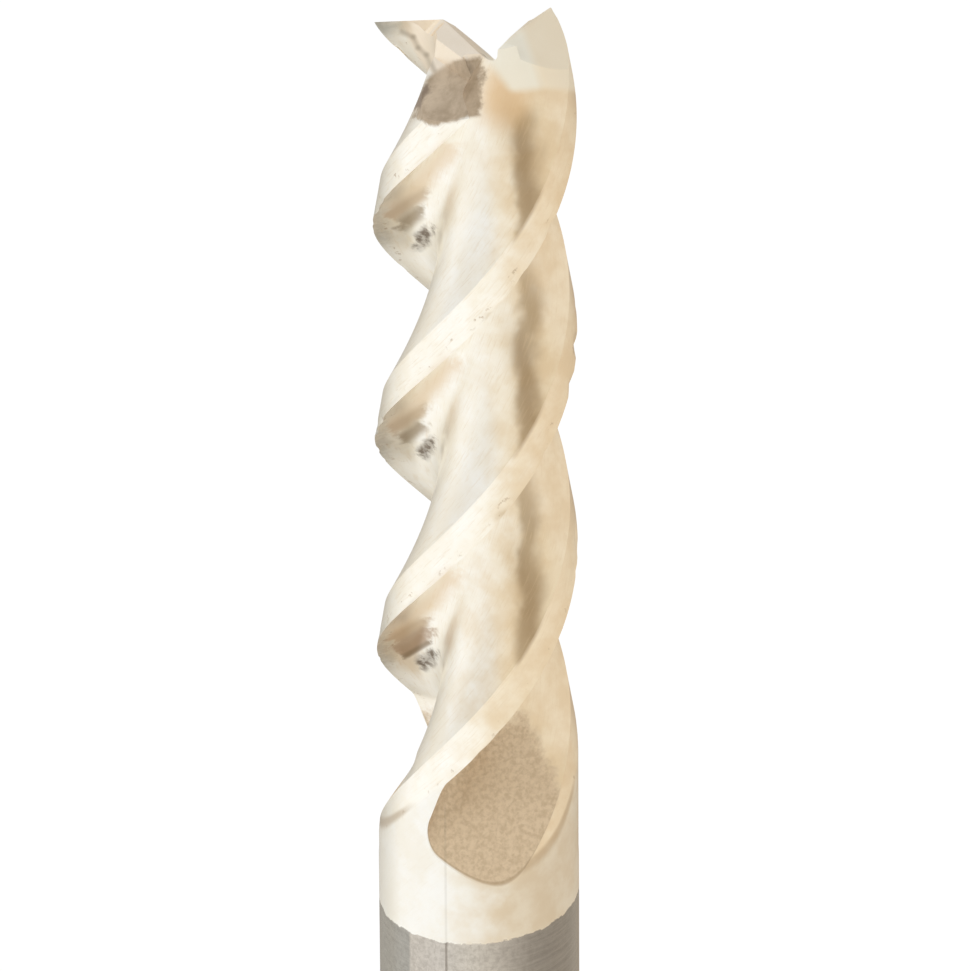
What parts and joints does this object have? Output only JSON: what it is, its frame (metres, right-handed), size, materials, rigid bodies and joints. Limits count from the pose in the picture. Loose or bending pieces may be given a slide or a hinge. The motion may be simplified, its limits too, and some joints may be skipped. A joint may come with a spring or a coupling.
{
  "type": "square end mill",
  "caption": "Round shank with steep right-hand helical flutes and a square, centre-cutting end; satin gold coating on the fluted part.",
  "frame": {"origin": "on the tool's axis, in the flat face of the shank end", "axes": "+Z along the axis from the shank end to the cutting end; one end edge runs parallel to X"},
  "size_m": [0.01, 0.01, 0.095],
  "materials": {
    "coated_steel": "fluted part and run-outs under a pale satin gold coating, shank bare ground steel"
  },
  "bodies": {
    "root": {"end_mill": "coated_steel"}
  },
  "joints": []
}
